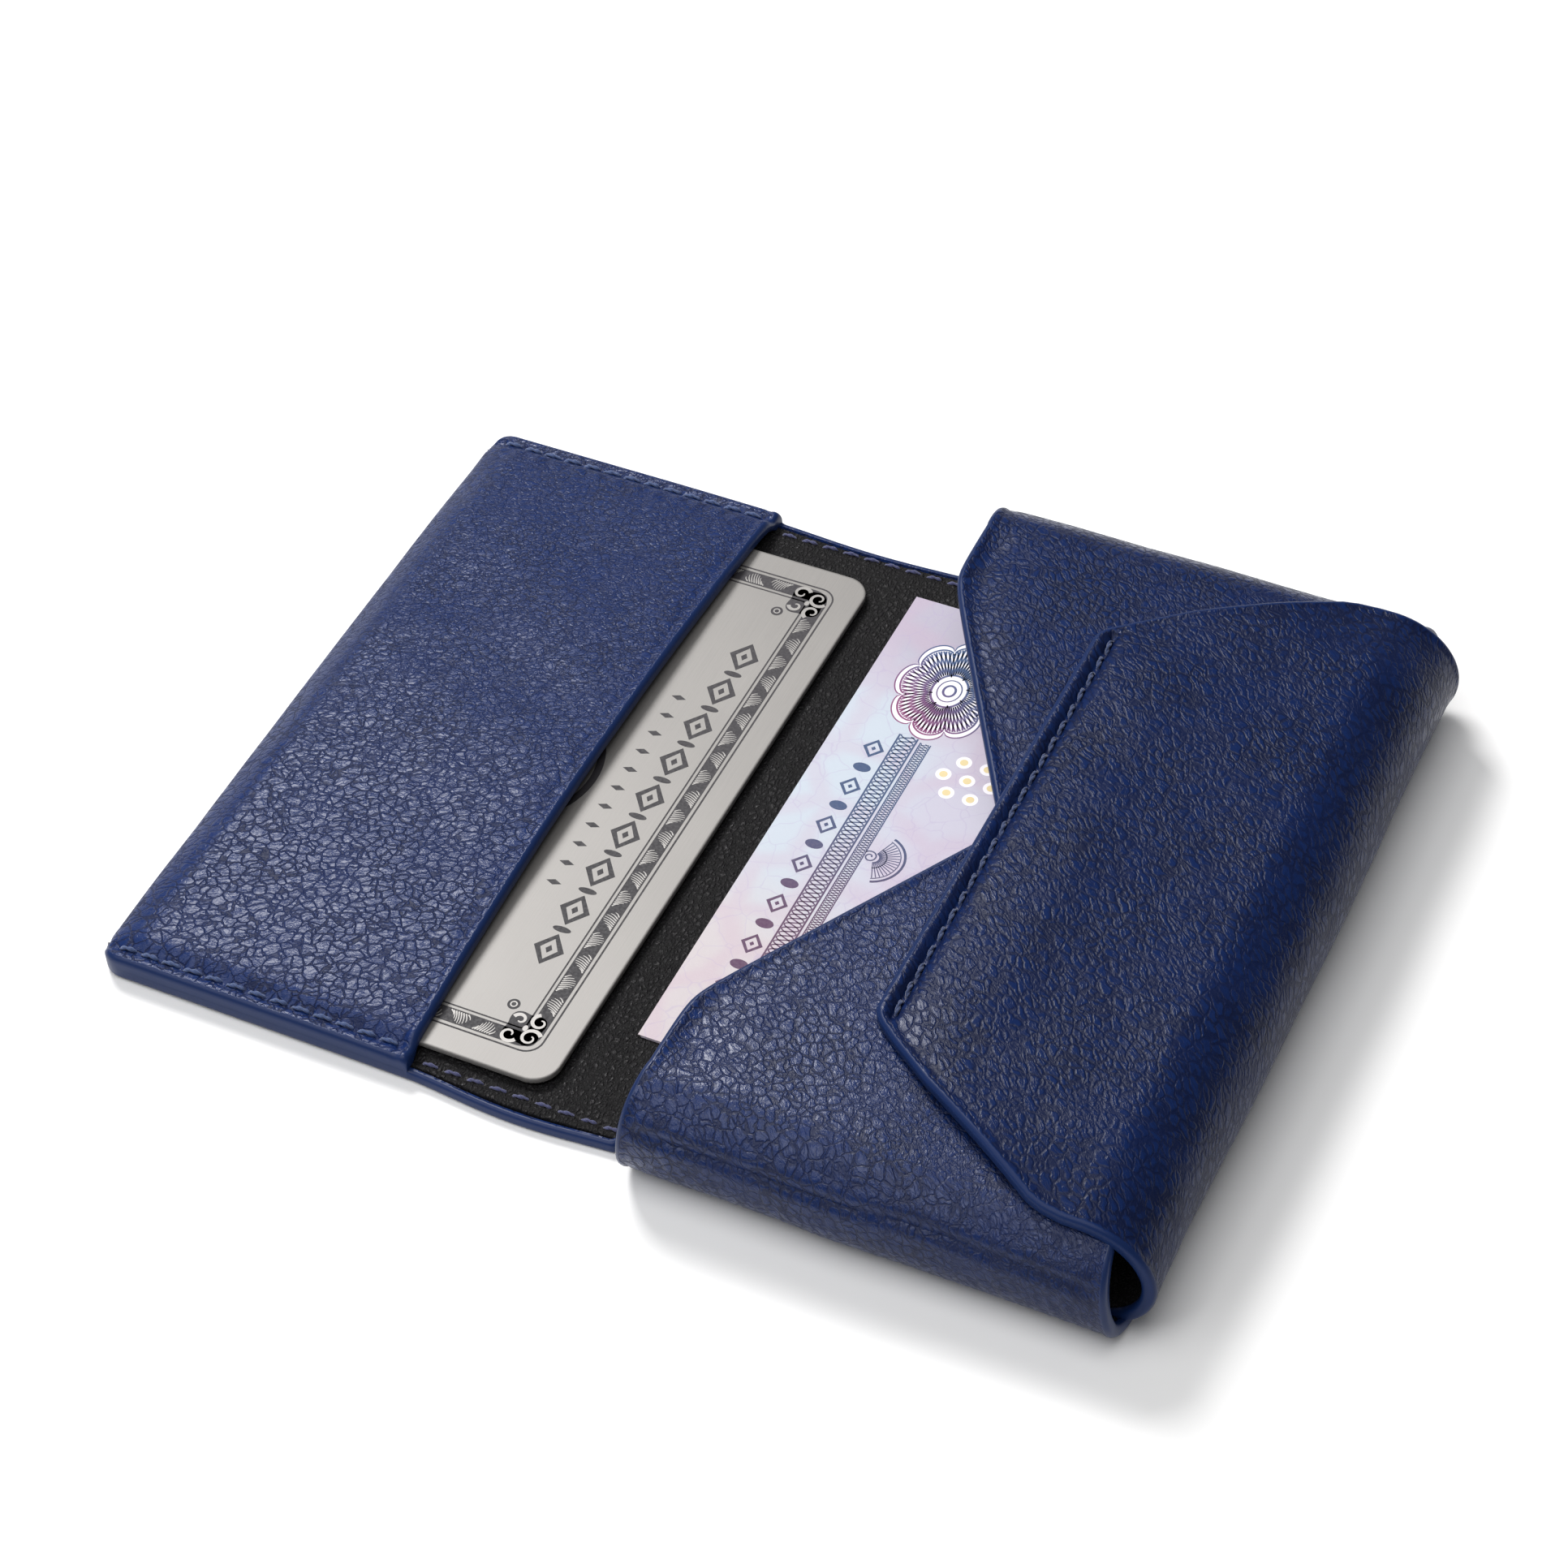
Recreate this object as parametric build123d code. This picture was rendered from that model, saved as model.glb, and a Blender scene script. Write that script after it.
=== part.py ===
from build123d import *
import os

# Folding leather wallet: a card pocket panel, a lined strip and an envelope compartment
# with two side wings and an end flap, lying open on its back.
# Millimetres. +X runs along the strip towards the envelope, +Z is up, z = 0 is the surface
# it lies on, and the origin is the middle of its footprint.

# ---- driving dimensions ----
overall_length = 127.6
strip_width = 96.0
envelope_width = 104.4
wing_height = 14.5
flap_height = 17.2
leather = 1.1
lining = 0.5
sheet = leather + lining

pocket_depth = 40.2        # from the left fold to the pocket's mouth
panel_length = 53.2        # the panel section, up to the bending part of the strip
envelope_start = 65.2      # from the left fold to the envelope's open side

card_size = (54.0, 85.6, 0.8)
card_corner = 3.18
note_size = (57.0, 75.3, 0.35)
card_shift = -1.7          # the card and the note lie a little off the middle
note_shift = 4.25

stitch_length = 1.9
stitch_pitch = 2.8
thread_width = 0.5
thread_rise = 0.3
stitch_inset = 1.9         # from the strip's long edges
pocket_seam_height = 3.55  # top of the sewn valley along the pocket's long edges

groove_offset = 25.95      # from the envelope's open side to the flap's sewn groove
groove_half_length = 31.0
groove_width = 1.0
groove_depth = 0.5

closure_offset = 31.0      # from the envelope's open side to the hidden magnets
closure_y = 13.0
magnet_radius, magnet_thickness = 5.0, 0.5
keeper_radius, keeper_thickness = 6.0, 0.4
seat_gap = 0.1             # round a magnet or a keeper, and half of it above

# ---- derived places ----
left_x = -overall_length / 2
right_x = overall_length / 2
mouth_x = left_x + pocket_depth
panel_end_x = left_x + panel_length
envelope_x = left_x + envelope_start
half_strip = strip_width / 2
half_envelope = envelope_width / 2
side_radius = wing_height / 2
end_radius = flap_height / 2
side_centre_y = half_envelope - side_radius
end_centre_x = right_x - end_radius
wall_end_x = right_x - 5.0           # right end of the front and back walls
flap_half_width = strip_width / 2 - 0.1
fold_gap = 0.25                      # the fixed walls stop this far under mid-height
wing_start = 0.8                     # the wings and the flap start this far above it
flap_start = 0.4
stitch_y = half_strip - stitch_inset
body_gap = 0.2


def save(shape, name):
    export_step(shape, f"parts/{name}.step")


def plate(x0, x1, y0, y1, z0, z1):
    size = (x1 - x0, y1 - y0, z1 - z0)
    return Pos((x0 + x1) / 2, (y0 + y1) / 2, (z0 + z1) / 2) * Box(*size)


def prism(outline, height):
    return extrude(make_face(outline), height)


# ---- card pocket panel ----
def pillow(inset):
    """Solid under the panel's top surface, drawn in by one layer on every side."""
    edge, seam, shoulder, crown = 3.3, 3.5, 4.7, 5.4
    seam_y, shoulder_y = half_strip - 2.1, half_strip - 3.4
    heights = [(half_strip, edge), (seam_y, seam), (shoulder_y, shoulder), (0, crown)]
    right = [(y, z - inset) for y, z in heights]
    left = [(-y, z) for y, z in reversed(right[:-1])]
    corners = [(-half_strip, inset), (half_strip, inset)]
    section = make_face(Polyline(*corners, *right, *left, close=True))
    length = panel_length if inset == 0 else panel_length + 1
    solid = extrude(Plane.YZ.offset(left_x + inset) * section, length)
    return round_left_end(solid, 2.0 - inset)


def round_left_end(solid, radius):
    end = solid.faces().sort_by(Axis.X)[0]
    bottom_edge = end.edges().filter_by(Axis.Y).sort_by(Axis.Z)[0]
    return fillet(bottom_edge, radius)


def mouth_cut(height):
    """Everything above the strip to the right of the pocket's slightly hollow mouth."""
    bow = 1.1
    far = panel_end_x + 5
    y = half_strip + 1
    mouth = ThreePointArc((mouth_x, -y), (mouth_x - bow, 0), (mouth_x, y))
    rest = Polyline((mouth_x, y), (far, y), (far, -y), (mouth_x, -y))
    return Pos(0, 0, height) * prism([mouth, rest], 10)


def panel_layer(outside, inside):
    layer = pillow(outside) - pillow(inside)
    kept = plate(left_x, panel_end_x - body_gap, -half_strip, half_strip, 0, 10)
    return (layer - mouth_cut(inside)) & kept


# ---- envelope ----
def lower_arc(radius, thickness):
    """Quarter ring from the floor up to just under its centre's height."""
    ring = Circle(radius) - Circle(radius - thickness)
    height = radius - fold_gap
    return ring & (Pos(radius / 2, -fold_gap - height / 2) * Rectangle(radius, height))


def upper_arc(radius, thickness, start):
    """Quarter ring from a little above its centre's height up to the top."""
    ring = Circle(radius) - Circle(radius - thickness)
    height = radius - start
    return ring & (Pos(radius / 2, start + height / 2) * Rectangle(radius, height))


def tray(inset, thickness):
    """Floor with its three half-height walls, open towards the strip."""
    side_r, end_r = side_radius - inset, end_radius - inset
    open_end_gap = 0.6
    wall_x = envelope_x + open_end_gap
    floor = plate(envelope_x, end_centre_x, -side_centre_y, side_centre_y, inset, inset + thickness)
    back = extrude(Plane.YZ * lower_arc(side_r, thickness), wall_end_x - wall_x)
    back = Pos(wall_x, side_centre_y, side_radius) * back
    front = mirror(back, Plane.XZ)
    end = extrude(Plane.XZ * lower_arc(end_r, thickness), 2 * flap_half_width)
    end = Pos(end_centre_x, flap_half_width, end_radius) * end
    return floor + back + front + end


def wing_outline():
    """Back wing seen from above: cut edges of the visible V and of the hidden end."""
    foot, shoulder, tip_start, tip_end = 2.2, 4.0, 24.3, 35.0
    cut_y, middle, far_y = 36.3, 1.2, 42.0
    far_x = wall_end_x - 0.4
    points = [
        (envelope_x + foot, half_envelope),
        (envelope_x + shoulder, side_centre_y),
        (envelope_x + shoulder + 0.1, cut_y),
        (envelope_x + tip_start, middle),
        (envelope_x + tip_end, middle),
        (far_x, far_y),
        (far_x, half_envelope),
    ]
    return make_face(Polyline(*points, close=True))


def wing(inset, thickness):
    arc = upper_arc(side_radius - inset, thickness, wing_start)
    wall = extrude(Plane.YZ * arc, wall_end_x - envelope_x)
    wall = Pos(envelope_x, side_centre_y, side_radius) * wall
    top_z = wing_height - inset
    top = plate(envelope_x, wall_end_x, 0, side_centre_y, top_z - thickness, top_z)
    return (wall + top) & extrude(wing_outline(), 30)


def flap_outline():
    tip_half, shoulder_x, shoulder_half = 31.5, envelope_x + 50.5, 46.8
    tip_x = envelope_x + 23.8
    half = [
        (tip_x, tip_half),
        (shoulder_x, shoulder_half),
        (shoulder_x + 3.5, flap_half_width),
        (right_x + 1, flap_half_width),
    ]
    points = half + [(x, -y) for x, y in reversed(half)]
    return make_face(Polyline(*points, close=True))


def flap(inset, thickness):
    arc = upper_arc(end_radius - inset, thickness, flap_start)
    wall = extrude(Plane.XZ * arc, 2 * flap_half_width)
    wall = Pos(end_centre_x, flap_half_width, end_radius) * wall
    top_z = flap_height - inset
    top = plate(envelope_x, end_centre_x, -half_strip, half_strip, top_z - thickness, top_z)
    return (wall + top) & extrude(flap_outline(), 30)


def disc(x, y, z, radius, thickness):
    return Pos(x, y, z) * Cylinder(radius, thickness, align=(Align.CENTER, Align.CENTER, Align.MIN))


def pit(y, z, radius, thickness):
    """The room that a closure disc takes out of the leather above it."""
    return disc(closure_x, y, z, radius + seat_gap, thickness + seat_gap / 2)


# ---- sewing ----
def stitch_places(start, end):
    """Middles of the evenly spaced stitches that fit between start and end."""
    count = int((end - start) // stitch_pitch)
    first = (start + end) / 2 - (count - 1) * stitch_pitch / 2
    return [first + i * stitch_pitch for i in range(count)]


def row_along_x(places, y, height):
    stitch = Box(stitch_length, thread_width, thread_rise)
    return Compound(children=[Pos(x, y, height + thread_rise / 2) * stitch for x in places])


def row_along_y(places, x, height):
    stitch = Box(thread_width, stitch_length, thread_rise)
    return Compound(children=[Pos(x, y, height + thread_rise / 2) * stitch for y in places])


def save_pair(name, places, height):
    """One row near the strip's front edge and one near its back edge."""
    save(row_along_x(places, -stitch_y, height), f"{name}_front")
    save(row_along_x(places, stitch_y, height), f"{name}_back")


os.makedirs("parts", exist_ok=True)

save(panel_layer(0, leather), "panel_leather")
save(panel_layer(leather, sheet), "panel_lining")
save_pair("pocket_thread", stitch_places(left_x + 1.5, mouth_x - 1.2), pocket_seam_height)
lining_places = stitch_places(mouth_x, envelope_x)
panel_places = [x for x in lining_places if x + stitch_length / 2 < panel_end_x]
save_pair("strip_thread", panel_places, sheet)

save(plate(panel_end_x, envelope_x, -half_strip, half_strip, 0, leather), "spine_leather")
save(plate(panel_end_x, envelope_x, -half_strip, half_strip, leather, sheet), "spine_lining")
save_pair("spine_thread", lining_places[len(panel_places):], sheet)

save(tray(0, leather), "base_leather")
save(tray(leather, lining) - tray(0, leather), "base_lining")

# Thin magnets in the flap face steel discs in the wings, between the leather and its lining.
closure_x = envelope_x + closure_offset
wing_seat = wing_height - leather
keeper = disc(closure_x, closure_y, wing_seat, keeper_radius, keeper_thickness)
wing_skin = wing(0, leather) - pit(closure_y, wing_seat, keeper_radius, keeper_thickness)
wing_inside = wing(leather, lining)
for side, turn in (("back", False), ("front", True)):
    for name, shape in (("leather", wing_skin), ("lining", wing_inside), ("keeper", keeper)):
        save(mirror(shape, Plane.XZ) if turn else shape, f"{side}_wing_{name}")

flap_seat = flap_height - leather
thread_x = envelope_x + groove_offset
groove_floor = flap_height - groove_depth
groove_sides = (thread_x - groove_width / 2, thread_x + groove_width / 2)
groove_ends = (-groove_half_length, groove_half_length)
flap_skin = flap(0, leather) - plate(*groove_sides, *groove_ends, groove_floor, flap_height)
for side, y in (("back", closure_y), ("front", -closure_y)):
    flap_skin -= pit(y, flap_seat, magnet_radius, magnet_thickness)
    save(disc(closure_x, y, flap_seat, magnet_radius, magnet_thickness), f"flap_magnet_{side}")
save(flap_skin, "flap_leather")
save(flap(leather, lining), "flap_lining")
save(row_along_y(stitch_places(*groove_ends), thread_x, groove_floor), "flap_thread")

# ---- contents ----
card_room, card_lift = 0.3, 0.5      # from the fold's lining, and above the strip's
card_x = left_x + sheet + card_room
card_z = sheet + card_lift
card = extrude(RectangleRounded(card_size[0], card_size[1], card_corner), card_size[2])
save(Pos(card_x + card_size[0] / 2, card_shift, card_z) * card, "metal_card")

note_shows, note_lift = 4.0, 0.05    # beyond the envelope's open side, and above the lining
note_x = envelope_x - note_shows
note_z = sheet + note_lift
note = plate(note_x, note_x + note_size[0], -note_size[1] / 2, note_size[1] / 2, 0, note_size[2])
save(Pos(0, note_shift, note_z) * note, "banknote")
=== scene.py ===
import math

import bmesh
import bpy
import numpy as np
from mathutils import Matrix, Vector


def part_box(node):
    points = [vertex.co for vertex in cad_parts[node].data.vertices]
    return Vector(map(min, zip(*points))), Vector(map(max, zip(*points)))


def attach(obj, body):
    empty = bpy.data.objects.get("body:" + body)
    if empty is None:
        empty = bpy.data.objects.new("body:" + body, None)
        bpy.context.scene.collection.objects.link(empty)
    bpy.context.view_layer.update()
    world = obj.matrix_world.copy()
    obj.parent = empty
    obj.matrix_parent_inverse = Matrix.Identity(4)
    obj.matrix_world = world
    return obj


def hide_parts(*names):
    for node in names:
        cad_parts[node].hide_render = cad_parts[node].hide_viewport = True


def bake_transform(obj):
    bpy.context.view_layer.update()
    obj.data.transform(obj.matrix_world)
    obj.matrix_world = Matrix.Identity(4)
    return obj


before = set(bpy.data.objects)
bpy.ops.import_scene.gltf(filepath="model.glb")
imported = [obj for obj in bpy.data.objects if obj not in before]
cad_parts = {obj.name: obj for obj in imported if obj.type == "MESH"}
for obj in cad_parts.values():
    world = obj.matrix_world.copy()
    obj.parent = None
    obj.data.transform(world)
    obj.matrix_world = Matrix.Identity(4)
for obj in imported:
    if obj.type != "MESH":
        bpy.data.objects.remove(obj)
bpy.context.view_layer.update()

# The shapes below are worked out in millimetres, in the CAD frame, and written to the
# meshes in metres.
MM = 0.001


def box_mm(node):
    low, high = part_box(node)
    return np.array(low) / MM, np.array(high) / MM


# ---- places read from the CAD model ----
panel_low = box_mm("panel_leather")[0]
spine_low, spine_high = box_mm("spine_leather")
base_high = box_mm("base_leather")[1]
wing_high = box_mm("back_wing_leather")[1]
flap_low, flap_high = box_mm("flap_leather")
card_low, card_high = box_mm("metal_card")
note_low, note_high = box_mm("banknote")
pocket_low, pocket_high = box_mm("pocket_thread_back")
groove_low, groove_high = box_mm("flap_thread")

LEFT_X = panel_low[0]
RIGHT_X = base_high[0]
SPINE_X = spine_low[0]
ENVELOPE_X = spine_high[0]
HALF_STRIP = spine_high[1]
HALF_ENVELOPE = wing_high[1]
WING_TOP = wing_high[2]
FLAP_TOP = flap_high[2]
FLAP_TIP_X = flap_low[0]
SIDE_R = WING_TOP / 2
END_R = FLAP_TOP / 2
SIDE_Y = HALF_ENVELOPE - SIDE_R
END_X = RIGHT_X - END_R
SIDE_ARC = math.pi * SIDE_R
END_ARC = math.pi * END_R
WALL_PAST_WING = 0.4
WALL_END_X = wing_high[0] + WALL_PAST_WING
POCKET_DEPTH = 40.2
MOUTH_X = LEFT_X + POCKET_DEPTH
MOUTH_BOW = 1.1

# EDGE is the width of painted leather left showing round the lining.
LEATHER = 1.1
LINING = 0.5
SHEET = LEATHER + LINING
EDGE = 0.95
PITCH = 2.8
SEAM_INSET = 1.9
SEAM_Y = HALF_STRIP - SEAM_INSET
GROOVE_X = (groove_low[0] + groove_high[0]) / 2


# ---- numbers to shapes ----
def smooth(x, low, high):
    t = np.clip((np.asarray(x, float) - low) / (high - low), 0, 1)
    return t * t * (3 - 2 * t)


def bell(x, middle, width):
    return np.exp(-(((x - middle) / width) ** 2))


def ripple(u, v, size, seed):
    """Smooth noise between -1 and 1, with bumps about size millimetres across."""
    table = np.random.default_rng(seed).uniform(-1, 1, (64, 64))
    a, b = np.asarray(u, float) / size + 31.7, np.asarray(v, float) / size + 17.3
    i, j = np.floor(a).astype(int), np.floor(b).astype(int)
    fa, fb = a - i, b - j
    fa, fb = fa * fa * (3 - 2 * fa), fb * fb * (3 - 2 * fb)
    i0, i1, j0, j1 = i % 64, (i + 1) % 64, j % 64, (j + 1) % 64
    near = table[i0, j0] * (1 - fa) + table[i1, j0] * fa
    far = table[i0, j1] * (1 - fa) + table[i1, j1] * fa
    return near * (1 - fb) + far * fb


EDGE_STEPS = np.array([0, 0.04, 0.14, 0.3, 0.5, 0.75, 1.0, 1.3, 1.7, 2.2, 2.8])


def spread(low, high, count, slant=1.0):
    """Positions from low to high in rows, closer together near both ends."""
    low, high = np.atleast_1d(low)[:, None], np.atleast_1d(high)[:, None]
    slant = np.atleast_1d(slant)[:, None] * np.ones_like(low)
    reach = EDGE_STEPS[-1] * slant
    steps = EDGE_STEPS * slant * np.minimum(1, 0.4 * (high - low) / reach)
    start, end = low + steps, high - steps[:, ::-1]
    inner = np.linspace(0, 1, count + 2)[1:-1]
    middle = start[:, -1:] + (end[:, :1] - start[:, -1:]) * inner
    return np.concatenate([start, middle, end], axis=1)


def slants(s, x):
    """How much longer a step across is than the distance from a slanting edge."""
    slope = np.gradient(x, s)
    kernel = np.ones(5) / 5
    slope = np.convolve(np.pad(slope, 2, mode="edge"), kernel, mode="valid")
    return np.sqrt(1 + slope**2)


def pairs(a, b):
    return np.stack([a, b], -1)


def distance_to(flat, lines):
    """Distance of each flat-pattern point from the nearest of the lines."""
    points, far = flat.reshape(-1, 2), 50.0
    best = np.full(len(points), far)
    for line in lines:
        line = np.asarray(line, float)
        for a, b in zip(line[:-1], line[1:]):
            d = b - a
            size = d @ d
            if size < 1e-12:
                continue
            t = np.clip(((points - a) @ d) / size, 0, 1)
            off = points - a - t[:, None] * d
            best = np.minimum(best, np.hypot(off[:, 0], off[:, 1]))
    return best.reshape(flat.shape[:2])


def declare(flat):
    """Works out the size and area of a sheet of leather, lining or paper from its flat pattern in
    millimetres, and keeps neither.
    """
    size = np.ptp(flat.reshape(-1, 2), axis=0)
    a, b = flat[1:, 1:] - flat[:-1, :-1], flat[1:, :-1] - flat[:-1, 1:]
    area = np.abs(a[..., 0] * b[..., 1] - a[..., 1] * b[..., 0]).sum() / 2
    area = min(area, size.prod()) * MM**2


def rounding(d, radius):
    """How far a rounded edge has dropped at distance d from it."""
    inside = np.clip(radius - d, 0, radius)
    return radius - np.sqrt(np.maximum(radius**2 - inside**2, 0))


def quads(ids):
    """The faces of a grid of point numbers."""
    corners = (ids[:-1, :-1], ids[1:, :-1], ids[1:, 1:], ids[:-1, 1:])
    return np.stack(corners, -1).reshape(-1, 4)


# Edges that turn more than this are shown sharp. INNER is the distance from a painted
# edge that is given to pieces that have none.
SHARP = math.radians(52)
INNER = 9.0


class Patch:
    """Gathers grids of points into one mesh, with each point's place in the flat pattern
    and its distance from the painted edge."""

    def __init__(self):
        self.points, self.pattern, self.rim, self.faces = [], [], [], []
        self.count = 0

    def add(self, points, pattern, rim):
        number = len(points)
        self.points.append(points)
        self.pattern.append(np.column_stack([pattern, np.zeros(number)]))
        self.rim.append(rim * np.ones(number))
        self.count += number
        return np.arange(self.count - number, self.count)

    def grid(self, points, pattern, rim):
        size = points.shape[:2]
        rim = np.ravel(rim * np.ones(size))
        ids = self.add(points.reshape(-1, 3), pattern.reshape(-1, 2), rim).reshape(size)
        self.faces.append(quads(ids))
        return ids

    def wall(self, a, b):
        self.faces.append(np.stack([a[:-1], a[1:], b[1:], b[:-1]], -1))

    def shell(self, outer, inner, pattern, rim):
        """Two grids joined all round into a closed sheet."""
        a, b = self.grid(outer, pattern, rim), self.grid(inner, pattern, rim)
        loops = []
        for g in (a, b):
            ring = [g[0, :-1], g[:-1, -1], g[-1, :0:-1], g[:0:-1, 0], g[0, :1]]
            loops.append(np.concatenate(ring))
        self.wall(loops[0], loops[1])

    def tube(self, path, radii, side, up, number=7):
        """A closed tube along path. side and up are the section's two directions."""
        turn = np.arange(number) / number * 2 * math.pi
        ring = np.cos(turn)[None, :, None] * side + np.sin(turn)[None, :, None] * up
        points = path[:, None, :] + radii[:, None, None] * ring
        along = np.linspace(0, 1, len(path))[:, None] * np.ones(number)
        flat = pairs(along * 3, turn / 2 * np.ones_like(along))
        ids = self.add(points.reshape(-1, 3), flat.reshape(-1, 2), INNER).reshape(-1, number)
        ids = np.concatenate([ids, ids[:, :1]], axis=1)
        self.faces.append(quads(ids))
        self.faces += [ids[:1, :-1], ids[-1:, :-1]]

    def build(self, name, material, weld=True):
        points = np.concatenate(self.points) * MM
        faces = [tuple(int(i) for i in f) for group in self.faces for f in group]
        mesh = bpy.data.meshes.new(name)
        mesh.from_pydata(points.tolist(), [], faces)
        flat = mesh.attributes.new("pattern", "FLOAT_VECTOR", "POINT")
        flat.data.foreach_set("vector", np.concatenate(self.pattern).ravel())
        rim = mesh.attributes.new("rim", "FLOAT", "POINT")
        rim.data.foreach_set("value", np.concatenate(self.rim))
        bm = bmesh.new()
        bm.from_mesh(mesh)
        if weld:
            bmesh.ops.remove_doubles(bm, verts=bm.verts, dist=1e-6)
            bmesh.ops.dissolve_degenerate(bm, edges=bm.edges, dist=1e-7)
        bmesh.ops.recalc_face_normals(bm, faces=bm.faces)
        for face in bm.faces:
            face.smooth = True
        for edge in bm.edges:
            edge.smooth = edge.calc_face_angle(0.0) < SHARP
        bm.to_mesh(mesh)
        bm.free()
        mesh.materials.append(material)
        obj = bpy.data.objects.new(name, mesh)
        bpy.context.scene.collection.objects.link(obj)
        return obj


def left_of(step):
    """Unit directions to the left of each step along a path."""
    side = pairs(-step[:, 1], step[:, 0])
    return side / np.maximum(np.linalg.norm(side, axis=1, keepdims=True), 1e-9)


def layer(name, material, x, y, one, other, flat, rim):
    """A closed sheet over the plan positions x, y, between two heights."""
    p = Patch()
    p.shell(np.dstack([x, y, one]), np.dstack([x, y, other]), flat, rim)
    return p.build(name, material)


def assign(piece, nodes, body, blend=None):
    """Parents a piece to the empty of the body it rides on, or, when blend is given, only bakes
    its place into its mesh; then hides the CAD nodes it stands for."""
    if blend:
        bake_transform(piece)
    else:
        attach(piece, body)
    if nodes:
        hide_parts(*nodes)


class Inlay(Patch):
    """Thin closed shapes lying flat on a surface: printing or engraving filled with ink."""

    def __init__(self, low, high):
        super().__init__()
        self.low, self.high = low, high

    def level(self, outline, z):
        points = np.column_stack([outline, np.full(len(outline), z)])
        return self.add(points, outline, INNER)

    def fill(self, outline):
        low, high = self.level(outline, self.low), self.level(outline, self.high)
        self.faces += [low[None, ::-1], high[None, :]]
        self.wall(np.append(low, low[0]), np.append(high, high[0]))

    def ribbon(self, path, width, closed=False):
        """A line along path. Its width is one number, or one for each point."""
        path = np.asarray(path, float)
        if closed:
            step = np.roll(path, -1, axis=0) - np.roll(path, 1, axis=0)
        else:
            step = np.gradient(path, axis=0)
        side = left_of(step)
        half = (np.asarray(width) / 2 * np.ones(len(path)))[:, None]
        left, right = path + side * half, path - side * half
        section = ((left, self.low), (left, self.high), (right, self.high), (right, self.low))
        rows = [self.level(edge, z) for edge, z in section]
        if closed:
            rows = [np.append(row, row[0]) for row in rows]
        else:
            self.faces += [np.array([[row[end] for row in rows]]) for end in (0, -1)]
        for a, b in zip(rows, rows[1:] + rows[:1]):
            self.wall(a, b)

    def disc(self, x, y, radius, number=20):
        self.fill(oval(x, y, radius, radius, number))

    def ring(self, x, y, radius, width, number=48):
        self.ribbon(oval(x, y, radius, radius, number), width, closed=True)


def oval(x, y, half_x, half_y, number=40):
    turn = np.arange(number) / number * 2 * math.pi
    return pairs(x + half_x * np.cos(turn), y + half_y * np.sin(turn))


def rounded_frame(low, high, inset, corner, steps=8):
    """Outline of a rectangle drawn in by inset, with rounded corners."""
    points = []
    turn = np.linspace(0, math.pi / 2, steps)
    for quarter, (sx, sy) in enumerate(((1, 1), (-1, 1), (-1, -1), (1, -1))):
        x = (high[0] if sx > 0 else low[0]) - sx * (inset + corner)
        y = (high[1] if sy > 0 else low[1]) - sy * (inset + corner)
        angle = turn + quarter * math.pi / 2
        points.append(pairs(x + corner * np.cos(angle), y + corner * np.sin(angle)))
    return np.concatenate(points)


def lozenge(x, y, half_x, half_y):
    return np.array([(x + half_x, y), (x, y + half_y), (x - half_x, y), (x, y - half_y)])


def spiral(x, y, start, turns, inner, outer, steps=26):
    t = np.linspace(0, 1, steps)
    angle = start + turns * 2 * math.pi * t
    radius = inner + (outer - inner) * t
    return pairs(x + radius * np.cos(angle), y + radius * np.sin(angle))


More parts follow.
